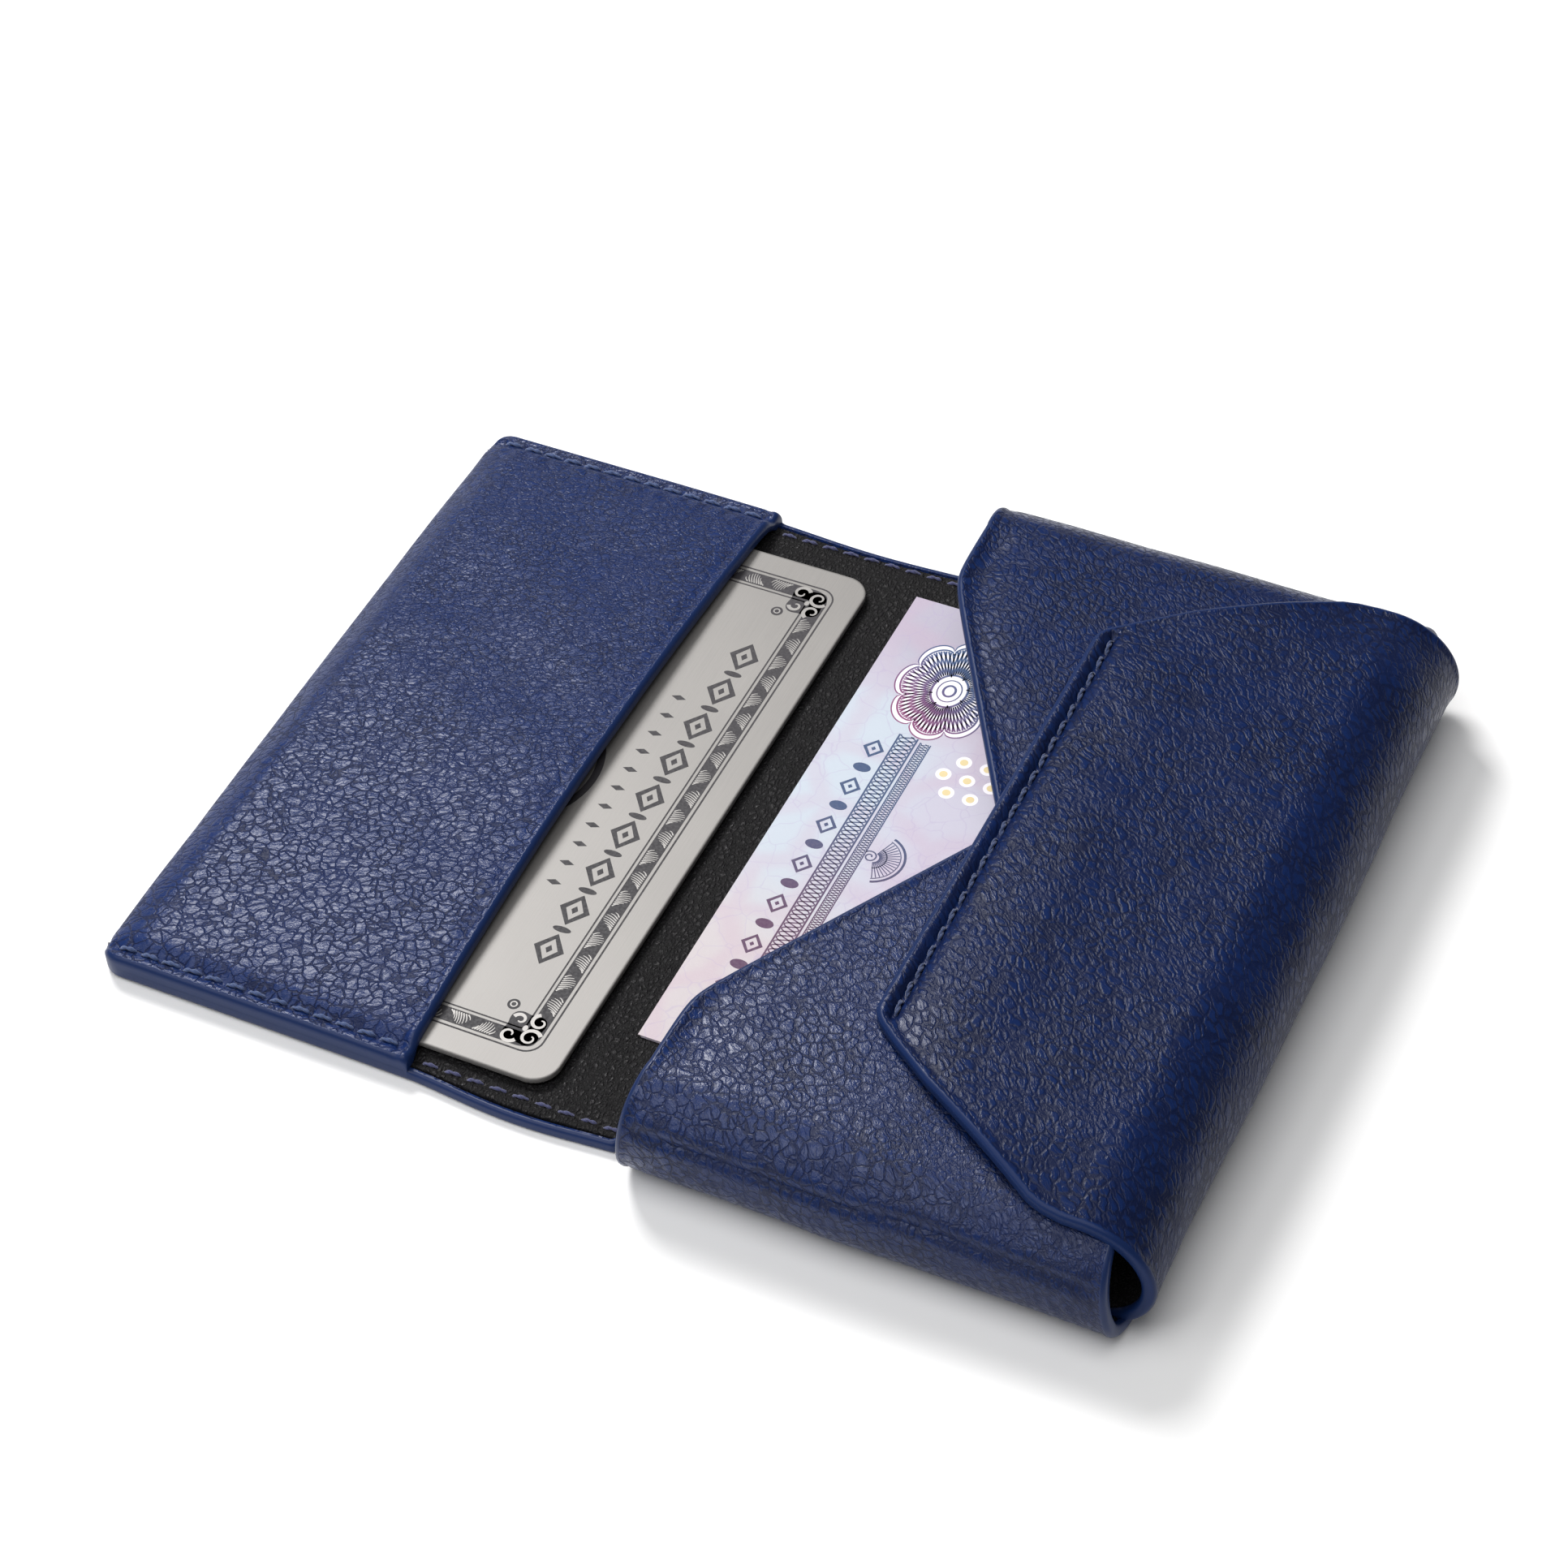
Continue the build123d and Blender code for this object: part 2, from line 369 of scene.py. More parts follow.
# ---- node materials ----
class Nodes:
    """A material's node tree, written as short calls that return sockets."""

    def __init__(self, name):
        self.material = bpy.data.materials.new(name)
        self.material.use_nodes = True
        self.tree = self.material.node_tree
        self.shader = self.tree.nodes["Principled BSDF"]

    def node(self, kind, inputs, **settings):
        n = self.tree.nodes.new(kind)
        for key, value in settings.items():
            setattr(n, key, value)
        for key, value in inputs.items():
            self.put(n.inputs[key], value)
        return n

    def put(self, socket, value):
        if isinstance(value, bpy.types.NodeSocket):
            self.tree.links.new(value, socket)
        else:
            socket.default_value = value

    def attribute(self, name):
        n = self.node("ShaderNodeAttribute", {}, attribute_name=name)
        return n.outputs["Fac"] if name == "rim" else n.outputs["Vector"]

    def axis(self, vector, number):
        return self.node("ShaderNodeSeparateXYZ", {"Vector": vector}).outputs[number]

    def math(self, operation, *values):
        inputs = dict(enumerate(values))
        return self.node("ShaderNodeMath", inputs, operation=operation).outputs[0]

    def add(self, a, b):
        return self.math("ADD", a, b)

    def times(self, a, b):
        return self.math("MULTIPLY", a, b)

    def centred(self, value):
        return self.math("SUBTRACT", value, 0.5)

    def vector(self, operation, *values):
        inputs = dict(enumerate(values))
        return self.node("ShaderNodeVectorMath", inputs, operation=operation).outputs[0]

    def scaled(self, vector, scale, turn=0.0):
        inputs = {"Vector": vector, "Scale": scale, "Rotation": (0, 0, turn)}
        return self.node("ShaderNodeMapping", inputs).outputs[0]

    def noise(self, vector, scale, detail=3.0, rough=0.5):
        inputs = {"Vector": vector, "Scale": scale, "Detail": detail, "Roughness": rough}
        return self.node("ShaderNodeTexNoise", inputs).outputs[0]

    def warped(self, vector, scale, amount):
        inputs = {"Vector": vector, "Scale": scale, "Detail": 2.0}
        shift = self.node("ShaderNodeTexNoise", inputs).outputs["Color"]
        shift = self.vector("SUBTRACT", shift, (0.5, 0.5, 0.5))
        shift = self.vector("MULTIPLY", shift, (amount, amount, amount))
        return self.vector("ADD", vector, shift)

    def cells(self, vector, scale):
        """Distance from the edges of irregular cells."""
        inputs = {"Vector": vector, "Scale": scale}
        n = self.node("ShaderNodeTexVoronoi", inputs, feature="DISTANCE_TO_EDGE")
        return n.outputs["Distance"]

    def step(self, value, low, high, to_low=0.0, to_high=1.0, kind="SMOOTHSTEP"):
        inputs = {"Value": value, 1: low, 2: high, 3: to_low, 4: to_high}
        n = self.node("ShaderNodeMapRange", inputs, interpolation_type=kind)
        return n.outputs[0]

    def mix(self, factor, a, b):
        return self.step(factor, 0.0, 1.0, a, b, kind="LINEAR")

    def tint(self, factor, a, b):
        n = self.node("ShaderNodeMix", {}, data_type="RGBA")
        for key, value in ((0, factor), (6, a), (7, b)):
            self.put(n.inputs[key], value)
        return n.outputs[2]

    def bump(self, height, depth_mm):
        inputs = {"Height": height, "Distance": depth_mm * MM}
        return self.node("ShaderNodeBump", inputs).outputs[0]

    def finish(self, **sockets):
        for key, value in sockets.items():
            self.put(self.shader.inputs[key.replace("_", " ")], value)
        return self.material


def rgb(r, g, b):
    """A colour given as it looks on screen, 0 to 255, turned to linear."""
    values = [c / 255 for c in (r, g, b)]
    linear = [c / 12.92 if c <= 0.04045 else ((c + 0.055) / 1.055) ** 2.4 for c in values]
    return (*linear, 1.0)


PAINT_WIDTH = 0.62
# Colours of the leather: its creases, coloured darker as painted shade, its plates and
# patches, its painted edge, and a lighter rim on that edge that is a painted highlight.
HIDE = (rgb(9, 23, 60), rgb(20, 43, 94), rgb(12, 35, 86))
PAINT, RIM_HIGHLIGHT = rgb(17, 37, 79), rgb(33, 53, 100)


def leather_material(
    name, turn, stretch, relief, gloss, shade, size, wall, rough, tight, dome=1.0, vein=0.045
):
    """Pebbled, waxed leather: glossy plates between narrow creases, with finer wrinkles
    where the hide is tighter, and a smooth painted band along the cut edges. turn and
    stretch say which way the plates run and how narrow they are, size how large, wall how
    wide their sloping sides are, dome how round they are and vein how wide the long
    wrinkles are. tight is the axis of the flat pattern along which the hide gets tighter,
    and where that starts and ends."""
    # shade darkens each part's copy of the leather: painted shade for parts that get less light.
    crease, plate, patch = ((*(c * shade for c in tone[:3]), 1.0) for tone in HIDE)
    n = Nodes(name)
    flat = n.attribute("pattern")
    rim = n.attribute("rim")
    drift = n.noise(flat, 0.06, 2.0)
    axis, low, high = tight
    shift = n.times(n.centred(drift), 0.8 * (high - low))
    region = n.step(n.add(n.axis(flat, axis), shift), low, high)
    bent = n.warped(n.warped(flat, 0.3, 1.6), 1.3, 0.55)
    turned = n.scaled(bent, (1.0, 1.0, 1.0), turn)
    gaps = n.cells(n.scaled(turned, (1.0, stretch, 1.0)), 0.92 / size)
    plates = n.step(gaps, 0.0, wall)
    domes = n.step(gaps, 0.0, 0.5)
    pebbles = n.cells(n.scaled(turned, (1.15, 0.75 * stretch, 1.0), 0.3), 2.0 / size)
    small = n.step(pebbles, 0.0, 1.4 * wall)
    folds = n.noise(n.scaled(turned, (2.4, 0.8 * stretch, 1.0)), 0.75, 3.0, 0.55)
    veins = n.step(n.math("ABSOLUTE", n.centred(folds)), 0.0, vein)
    pores = n.noise(flat, 5.0, 2.0)
    height = n.times(plates, n.mix(region, 0.6, 0.26))
    for part, loose, drawn in (
        (domes, 0.3 * dome, 0.14 * dome),
        (small, 0.12 * dome, 0.34 * dome),
        (veins, 0.2, 0.34),
    ):
        height = n.add(height, n.times(part, n.mix(region, loose, drawn)))
    height = n.add(height, n.times(pores, 0.035))
    wander = n.times(n.centred(n.noise(flat, 1.3, 2.0)), 0.3)
    paint = n.step(n.add(rim, wander), PAINT_WIDTH - 0.12, PAINT_WIDTH + 0.14, 1.0, 0.0)
    height = n.mix(paint, height, 1.2)
    deep = n.step(height, 0.4, 1.05)
    blotch = n.noise(flat, 0.12, 3.0)
    # Creases take a darker colour than the plates: painted shade in the creases.
    colour = n.tint(deep, crease, plate)
    colour = n.tint(n.step(blotch, 0.35, 0.7, 0.0, 0.5), colour, patch)
    colour = n.tint(n.times(paint, 0.9), colour, PAINT)
    # The very rim of the painted edge is lightened: a painted highlight along the rounded edge.
    colour = n.tint(n.step(rim, 0.0, 0.25, 0.3, 0.0), colour, RIM_HIGHLIGHT)
    rough = n.mix(deep, rough + 0.2, rough)
    rough = n.add(rough, n.times(n.noise(flat, 0.9, 3.0), 0.06))
    return n.finish(
        Base_Color=colour,
        Roughness=n.mix(paint, rough, 0.38),
        Specular_IOR_Level=gloss,
        Normal=n.bump(height, relief),
    )


def lining_material(name):
    n = Nodes(name)
    flat = n.attribute("pattern")
    bent = n.warped(flat, 0.8, 0.5)
    turned = n.scaled(bent, (1.0, 0.6, 1.0), 0.75)
    cells = n.step(n.cells(turned, 1.9), 0.02, 0.3)
    fine = n.step(n.cells(turned, 4.2), 0.02, 0.3)
    height = n.add(n.times(cells, 0.7), n.times(fine, 0.3))
    blotch = n.noise(flat, 0.2, 3.0)
    # Pebble tops are coloured lighter and the hollows darker: painted highlights on the tops and
    # painted shade in the hollows.
    colour = n.tint(height, rgb(5, 5, 6), rgb(27, 25, 28))
    colour = n.tint(n.step(blotch, 0.4, 0.7, 0.0, 0.4), colour, rgb(14, 13, 15))
    return n.finish(
        Base_Color=colour,
        Roughness=n.mix(height, 0.75, 0.36),
        Specular_IOR_Level=0.24,
        Normal=n.bump(height, 0.15),
    )


def thread_material(name, dark, light):
    n = Nodes(name)
    flat = n.attribute("pattern")
    fibre = n.noise(n.scaled(flat, (2.0, 14.0, 1.0), 0.4), 2.0, 3.0, 0.6)
    colour = n.tint(n.step(fibre, 0.3, 0.7), dark, light)
    return n.finish(
        Base_Color=colour,
        Roughness=n.mix(fibre, 0.5, 0.75),
        Normal=n.bump(fibre, 0.05),
        Sheen_Weight=0.4,
        Sheen_Roughness=0.4,
    )


def metal_material(name, dark, light, rough_low, rough_high, metallic=1.0):
    n = Nodes(name)
    flat = n.attribute("pattern")
    brushed = n.noise(n.scaled(flat, (9.0, 0.12, 1.0)), 1.0, 5.0, 0.7)
    cloud = n.noise(flat, 0.07, 3.0)
    colour = n.tint(brushed, dark, light)
    colour = n.tint(n.step(cloud, 0.3, 0.7, 0.0, 0.25), colour, dark)
    rough = n.mix(brushed, rough_low, rough_high)
    normal = n.bump(brushed, 0.006)
    return n.finish(Base_Color=colour, Metallic=metallic, Roughness=rough, Normal=normal)


navy = leather_material(
    "navy_leather", turn=1.16, stretch=0.72, relief=0.09, gloss=0.24, shade=0.94, size=1.0,
    wall=0.1, rough=0.27, tight=(1, -34.0, 24.0),
)
# The wings' and flap's copies of the navy leather are darker than the panel's (shade 0.9, 0.76 and
# 0.72 against 0.94): painted shade where these parts get less light.
wing_navy = {
    "back": leather_material(
        "back_wing_navy", turn=0.78, stretch=0.6, relief=0.08, gloss=0.17, shade=0.76,
        size=0.85, wall=0.17, rough=0.22, tight=(0, 20.0, 160.0), dome=0.5, vein=0.09,
    ),
    "front": leather_material(
        "front_wing_navy", turn=2.36, stretch=0.8, relief=0.1, gloss=0.31, shade=0.9,
        size=1.02, wall=0.12, rough=0.23, tight=(0, 10.0, 70.0), dome=0.6, vein=0.08,
    ),
    "flap": leather_material(
        "flap_navy", turn=0.78, stretch=0.5, relief=0.065, gloss=0.15, shade=0.72,
        size=0.86, wall=0.19, rough=0.17, tight=(0, 40.0, 160.0), dome=0.3, vein=0.1,
    ),
}
black = lining_material("black_lining")
blue_thread = thread_material("blue_thread", rgb(30, 46, 92), rgb(84, 108, 158))
# The flap's stitches use a darker copy of the blue thread: painted shade in the flap's groove.
shaded_flap_thread = thread_material("flap_thread_blue", rgb(18, 32, 70), rgb(58, 80, 128))
violet_thread = thread_material("lining_thread", rgb(40, 42, 78), rgb(88, 92, 140))
card_metal = metal_material(
    "card_metal", rgb(120, 118, 116), rgb(146, 143, 140),
    rough_low=0.42, rough_high=0.54, metallic=0.3,
)


# ---- card pocket panel and strip ----
def strip_floor(x):
    """Height of the strip's underside: it sags between the pocket and the envelope."""
    return 0.25 * smooth(-x, 12.0, 40.0)


def half_width(x, inset=0.0):
    """Half width of the whole flat sheet from the left fold to the end wall."""
    corner = 2.8
    into = np.clip(x - (LEFT_X + inset), 0, corner)
    width = HALF_STRIP - inset - (corner - np.sqrt(corner**2 - (corner - into) ** 2))
    neck = smooth(x, ENVELOPE_X + 0.2, ENVELOPE_X + 2.2)
    return width * (1 - neck) + np.minimum(width, SIDE_Y) * neck


def pocket_holes():
    start, end = pocket_low[0], pocket_high[0]
    return np.arange(start - 0.45, end + 1.4, PITCH)


def dents(along, across, holes, middle, depth, size=0.42):
    """Small pits where the thread goes through."""
    nearest = np.min(np.abs(along[..., None] - holes), axis=-1)
    return -depth * np.exp(-(nearest**2 + (across - middle) ** 2) / size**2)


def pocket_top(x, y):
    """Height of the pocket's upper surface, not counting its rounded edges."""
    off = np.abs(y)
    fine = np.linspace(0, HALF_STRIP + 1, 800)
    knots = [0, 12, 24, 34, 40, 43.5, 44.9, 45.6, 46.1, 46.6, 47.3, 49]
    heights = [5.5, 5.4, 5.15, 4.82, 4.5, 4.25, 4.05, 3.5, 3.0, 3.3, 3.45, 3.45]
    shape = np.interp(fine, knots, heights)
    width = 17
    window = np.exp(-np.linspace(-2, 2, width) ** 2)
    shape = np.convolve(np.pad(shape, width // 2, mode="edge"), window / window.sum(), "valid")
    body = np.interp(off, fine, shape)
    margin = 3.38
    grow = 0.25 + 0.75 * smooth(x, LEFT_X + 0.3, LEFT_X + 5.5)
    seam = bell(off, SEAM_Y, 0.7)
    z = np.where(off < SEAM_Y, margin + (body - margin) * np.maximum(grow, seam), body)
    fade = smooth(x, LEFT_X + 1.2, LEFT_X + 2.4)
    pucker = 0.07 * np.cos(2 * math.pi * (x - pocket_low[0]) / PITCH)
    z = z + pucker * bell(off, 44.5, 1.0) * fade
    z = z + dents(x, off, pocket_holes(), SEAM_Y, 0.3)
    z = z + 0.16 * ripple(x, y, 11, 3) * smooth(46 - off, 0, 6)
    z = z + 0.05 * ripple(x, y, 4.2, 4) * smooth(46 - off, 0, 3)
    return z + strip_floor(x)


def mouth(y):
    return MOUTH_X - MOUTH_BOW * (1 - (y / HALF_STRIP) ** 2)


def pocket_grid(inset, far_inset, rows, columns):
    """Plan positions between the left fold and the mouth, x[i, j] and y[i, j]."""
    length = MOUTH_X - LEFT_X
    steps = spread(0, length, rows)[0] / length
    x0 = LEFT_X + inset + steps * (length - inset - far_inset)
    y = spread(-half_width(x0, inset), half_width(x0, inset), columns)
    share = ((x0 - x0[0]) / (x0[-1] - x0[0]))[:, None]
    x = x0[:, None] + (mouth(y) - MOUTH_X) * share
    return x, y


def build_pocket():
    x, y = pocket_grid(0, 0, rows=84, columns=150)
    flat = pairs(x, y)
    sides = [flat[:, 0], flat[:, -1]]
    d_side = distance_to(flat, sides)
    d_left = distance_to(flat, [flat[0]])
    d_mouth = distance_to(flat, [flat[-1]])
    top = pocket_top(x, y)
    floor = strip_floor(x) + SHEET
    side_round, mouth_round, fold_round, fold_drop = 0.95, 0.62, 4.2, 1.7
    fold = fold_drop / fold_round * rounding(d_left, fold_round)
    outer = top - rounding(d_side, side_round) - fold - rounding(d_mouth, mouth_round)
    outer = np.maximum(outer, floor + 0.02)
    outer = outer + 0.1 * bell(d_mouth, 0.75, 0.4) - 0.12 * bell(d_mouth, 1.5, 0.35)
    lip = top - SHEET + rounding(d_mouth, 0.5)
    deep = top - LEATHER
    inside = lip + (deep - lip) * smooth(d_mouth, 0.8, 1.15)
    joined = smooth(np.minimum(d_side, d_left), 1.7, 2.3)
    inner = floor - 0.03 + (inside - floor + 0.03) * joined
    inner = np.minimum(inner, outer - 0.05)
    rim = np.minimum(d_side, d_mouth)
    skin = layer("pocket_leather", navy, x, y, outer, inner, flat, rim)
    assign(skin, ["panel_leather"], "card_panel")
    declare(flat)

    x, y = pocket_grid(2.0, 1.0, rows=60, columns=90)
    flat = pairs(x, y)
    top = pocket_top(x, y) - LEATHER
    edge = distance_to(flat, [flat[-1]])
    low = top - LINING - 0.02 + rounding(edge, 0.2)
    over_card = np.abs(y) < HALF_STRIP - 3.2
    low = np.where(over_card, np.maximum(low, card_high[2] + 0.04), low)
    top = np.maximum(top, low + 0.03)
    lining = layer("pocket_lining", black, x, y, top, low, flat, INNER)
    assign(lining, ["panel_lining"], "card_panel")
    declare(flat)


def sway(x, y):
    """The free strip sways a little towards the front between pocket and envelope."""
    share = np.clip((x - MOUTH_X) / (ENVELOPE_X + 2 - MOUTH_X), 0, 1)
    middle = np.sin(math.pi * share) ** 1.5
    return y - middle * (0.5 * smooth(y, 30, 48) + 0.85 * smooth(-y, 44, 48))


def build_strip():
    """The one flat sheet: pocket floor, strip and envelope floor."""
    blend = {"start": (ENVELOPE_X * MM, 0, 0), "end": ((SPINE_X + 0.2) * MM, 0, 0)}
    open_part = np.linspace(MOUTH_X, ENVELOPE_X + 4, 90)[:-1]
    envelope_part = np.linspace(ENVELOPE_X + 4, END_X, 60)

    def plan(under_pocket, inset):
        x0 = np.concatenate([under_pocket[:-1], open_part, envelope_part])
        half = half_width(x0) - inset
        y = spread(-half, half, 90)
        x = x0[:, None] * np.ones_like(y)
        y = sway(x, y)
        return x0, x, y, pairs(x, y)

    x0, x, y, flat = plan(spread(LEFT_X, MOUTH_X, 60)[0], 0)
    cut = [flat[x0 < ENVELOPE_X + 3, 0], flat[x0 < ENVELOPE_X + 3, -1]]
    d = distance_to(flat, cut)
    d_left = distance_to(flat, [flat[0]])
    under = smooth(-x, -MOUTH_X - 0.7, -MOUTH_X + 0.3)
    low = strip_floor(x) + rounding(d, 0.5) + rounding(d_left, 1.6)
    top = strip_floor(x) + SHEET - rounding(d, 0.5) * (1 - under)
    recess = smooth(d, 0.75, 1.0) * (LINING + 0.02)
    top = np.maximum(top - recess, low + 0.02)
    skin = layer("strip_leather", navy, x, y, low, top, flat, d)
    assign(skin, ["spine_leather", "base_leather"], "card_panel", blend)
    declare(flat)

    x0, x, y, flat = plan(np.linspace(LEFT_X + 2.0, MOUTH_X, 50), EDGE)
    d = distance_to(flat, [flat[:, 0], flat[:, -1]])
    top = strip_floor(x) + SHEET + 0.04 - rounding(d, 0.3)
    seam = bell(np.abs(y), SEAM_Y, 0.45) * smooth(ENVELOPE_X - x, -1, 0)
    top = top - 0.16 * seam + 0.03 * ripple(x, y, 3.5, 9)
    top = top + dents(x, np.abs(y), strip_holes(), SEAM_Y, 0.16)
    low = strip_floor(x) + LEATHER
    lining = layer("strip_lining", black, x, y, low, top, flat, INNER)
    assign(lining, ["spine_lining", "base_lining"], "card_panel", blend)
    declare(flat)
    return blend


def strip_holes():
    return np.arange(MOUTH_X + 0.45, ENVELOPE_X + 1.0, PITCH)


# ---- sewing ----
def stitch(p, middle, along, length, thick, seed):
    """Two twisted plies that rise out of one hole and go down into the next."""
    gen = np.random.default_rng(seed)
    up = np.array([0, 0, 1.0])
    across = np.cross(up, along)
    twist, lean = 3.4, 0.09
    slant = lean + 0.05 * gen.uniform(-1, 1)
    along = along * math.cos(slant) + across * math.sin(slant)
    across = np.cross(up, along)
    t = np.linspace(-1, 1, 13)
    length = length * (1 + 0.05 * gen.uniform(-1, 1))
    rise = thick * (1.15 * np.cos(t * math.pi / 2) ** 0.7 - 0.75)
    core = middle + t[:, None] * along * length / 2 + rise[:, None] * up
    taper = thick * 0.56 * np.sqrt(np.clip(1.04 - t**4, 0, 1))
    phase = gen.uniform(0, math.pi)
    for ply in (0, math.pi):
        turn = phase + ply + t * twist
        offset = np.cos(turn)[:, None] * across + np.sin(turn)[:, None] * up
        p.tube(core + offset * taper[:, None] * 0.62, taper, across, up)


def seam_row(name, middles, along, material, thick, length, seed):
    """A row of stitches at the given places, all running the same way."""
    p = Patch()
    for i, middle in enumerate(middles):
        stitch(p, np.array(middle), np.array(along), length, thick, seed + i)
    return p.build(name, material, weld=False)


def build_seams(blend):
    pocket = (pocket_holes()[:-1] + pocket_holes()[1:]) / 2
    strip = (strip_holes()[:-1] + strip_holes()[1:]) / 2
    unit_x, lift, sink = (1.0, 0, 0), 0.2, 0.06
    for side, y in (("front", -SEAM_Y), ("back", SEAM_Y)):
        tops = [pocket_top(np.array([[x]]), np.array([[y]]))[0, 0] for x in pocket]
        middles = [(x, y, top + lift) for x, top in zip(pocket, tops)]
        sewing = {"thick": 0.3, "length": 2.3, "seed": 10}
        row = seam_row(f"pocket_stitches_{side}", middles, unit_x, blue_thread, **sewing)
        assign(row, [f"pocket_thread_{side}"], "card_panel")
        middles = [(x, y, strip_floor(x) + SHEET - sink) for x in strip]
        sewing = {"thick": 0.26, "length": 2.1, "seed": 60}
        row = seam_row(f"strip_stitches_{side}", middles, unit_x, violet_thread, **sewing)
        nodes = [f"strip_thread_{side}", f"spine_thread_{side}"]
        assign(row, nodes, "card_panel", blend)


# ---- envelope walls, wings and flap ----
def side_section(s):
    """Back wall and wing top along the sheet: y, z at distance s from the floor's edge."""
    angle = np.clip(s / SIDE_ARC, 0, 1) * math.pi - math.pi / 2
    square = 1 + 0.02 * np.sin(2 * angle) ** 2
    y = SIDE_Y + SIDE_R * square * np.cos(angle) - np.maximum(s - SIDE_ARC, 0)
    z = SIDE_R + SIDE_R * square * np.sin(angle)
    return y, z


def end_section(s):
    """End wall and flap top along the sheet: x, z at distance s from the floor's edge."""
    angle = np.clip(s / END_ARC, 0, 1) * math.pi - math.pi / 2
    x = END_X + END_R * np.cos(angle) - np.maximum(s - END_ARC, 0)
    z = END_R + END_R * np.sin(angle)
    return x, z


def normals_of(points):
    a, b = np.gradient(points, axis=0), np.gradient(points, axis=1)
    n = np.cross(a, b)
    size = np.linalg.norm(n, axis=-1, keepdims=True)
    return n / np.maximum(size, 1e-9)


def formed(name, material, place, flat, rim, over, under, sign):
    """A sheet between two depths below a formed surface. It stays above the floor."""
    surface = place(flat)
    normal = normals_of(surface) * sign
    outer = surface + normal * over[..., None]
    inner = surface - normal * under[..., None]
    outer[..., 2] = np.maximum(outer[..., 2], 0.0)
    inner[..., 2] = np.maximum(inner[..., 2], 0.05)
    p = Patch()
    p.shell(outer, inner, flat, rim)
    return p.build(name, material)


def unrolled(rows, left, right, columns, slant=1.0):
    """A flat pattern in rows, and each point's distance from its cut edges."""
    across = spread(left, right, columns, slant)
    flat = pairs(across, rows[:, None] * np.ones_like(across))
    return flat, distance_to(flat, [flat[:, 0], flat[:, -1], flat[-1]])


def sheet_pair(stem, place, relief, s, left, right, columns, sign):
    """The leather of one formed section with its painted edges, and its lining."""
    slant = np.maximum(slants(s, left), slants(s, right))
    flat, d = unrolled(s, left, right, columns, slant)
    over = relief(flat, d) - rounding(d, 0.5)
    over = over + 0.07 * bell(d, 0.75, 0.3) - 0.1 * bell(d, 1.35, 0.3)
    under = SHEET - rounding(d, 0.5) - smooth(d, 0.75, 1.0) * LINING
    over = np.maximum(over, 0.02 - under)
    hide = wing_navy[stem.split("_")[0]]
    skin = formed(f"{stem}_skin", hide, place, flat, d, over, under, sign)
    declare(flat)

    end = s[-1] - EDGE
    rows = np.append(s[s <= end], end)
    low = np.interp(rows, s, left + EDGE * slant)
    high = np.interp(rows, s, right - EDGE * slant)
    flat, d = unrolled(rows, low, high, columns // 2)
    over = np.full(d.shape, -LEATHER)
    under = SHEET + 0.03 - rounding(d, 0.25)
    lining = formed(f"{stem}_inside", black, place, flat, INNER, over, under, sign)
    declare(flat)
    return skin, lining


def smooth_max(a, b, blend):
    return (a + b + np.sqrt((a - b) ** 2 + blend**2)) / 2


def hinge(pair, body, middle, bend_low, bend_high):
    """Bakes the leather and lining of a formed section in place and hides their CAD nodes.
    The two heights only go into blend, which is not used to bend them.
    """
    blend = {"start": (*middle, bend_low * MM), "end": (*middle, bend_high * MM)}
    skin, lining = pair
    assign(skin, [f"{body}_leather"], body, blend)
    assign(lining, [f"{body}_lining"], body, blend)


# Distance along the sheet from the floor to the crease in the wings' walls.
CREASE_S = SIDE_ARC * 0.643


def build_wing(side, turn):
    def place(flat):
        y, z = side_section(flat[..., 1])
        return np.stack([flat[..., 0], turn * y, z], -1)

    def relief(flat, d):
        """The wall's crease and gathered wrinkles, then a top that is puffed in the middle,
        drawn down along its cut edge and sunk at its left end."""
        x, s = flat[..., 0], flat[..., 1]
        seed = 20 if turn > 0 else 30
        crease = s - (CREASE_S + 0.5 * ripple(x, 0 * x, 9, seed))
        inner = smooth(d, 0.8, 3.0)
        h = -0.42 * bell(crease, 0, 0.5) + 0.26 * bell(crease, 1.4, 0.9)
        h = h + 0.14 * bell(crease, -1.3, 0.8)
        wrinkle = np.sin(2 * math.pi * (x + 0.3 * s) / 1.5 + 3 * ripple(x, s, 4, seed + 1))
        h = h + 0.09 * wrinkle * bell(s, CREASE_S - 4.5, 3.4)
        top = smooth(s, SIDE_ARC - 2, SIDE_ARC + 6)
        h = h + 0.3 * top * bell(s, SIDE_ARC + 15, 14) - 0.35 * top * smooth(6 - d, 0, 6)
        h = h - 1.3 * top * np.clip((ENVELOPE_X + 15 - x) / 13, 0, 1) ** 2
        h = h + 0.14 * ripple(x, s, 13, seed + 2) + 0.05 * ripple(x, s, 4.5, seed + 3)
        return h * inner

    end = SIDE_ARC + SIDE_Y - 1.2
    s = spread(0, end, 130)[0]
    off_top = 99.0
    y = np.where(s > SIDE_ARC, SIDE_Y - (s - SIDE_ARC), off_top)
    foot, middle, top = ENVELOPE_X + 1.7, ENVELOPE_X + 3.0, ENVELOPE_X + 4.0
    wall = np.interp(s, [0, SIDE_ARC / 2, SIDE_ARC], [foot, middle, top])
    left_slope, right_slope, corner = 0.5986, 0.539, 1.2
    left = smooth_max(wall, ENVELOPE_X + 5.7 + (32.2 - y) * left_slope, corner)
    end_x = WALL_END_X + np.interp(s, [0, SIDE_ARC * 0.4, SIDE_ARC], [2.2, 1.8, 0.0])
    right = -smooth_max(-end_x, -(WALL_END_X - (42 - y) * right_slope), corner)
    pair = sheet_pair(f"{side}_wing", place, relief, s, left, right, columns=96, sign=turn)
    middle = (0, turn * HALF_ENVELOPE * MM)
    hinge(pair, f"{side}_wing", middle, bend_low=5.6, bend_high=9.2)


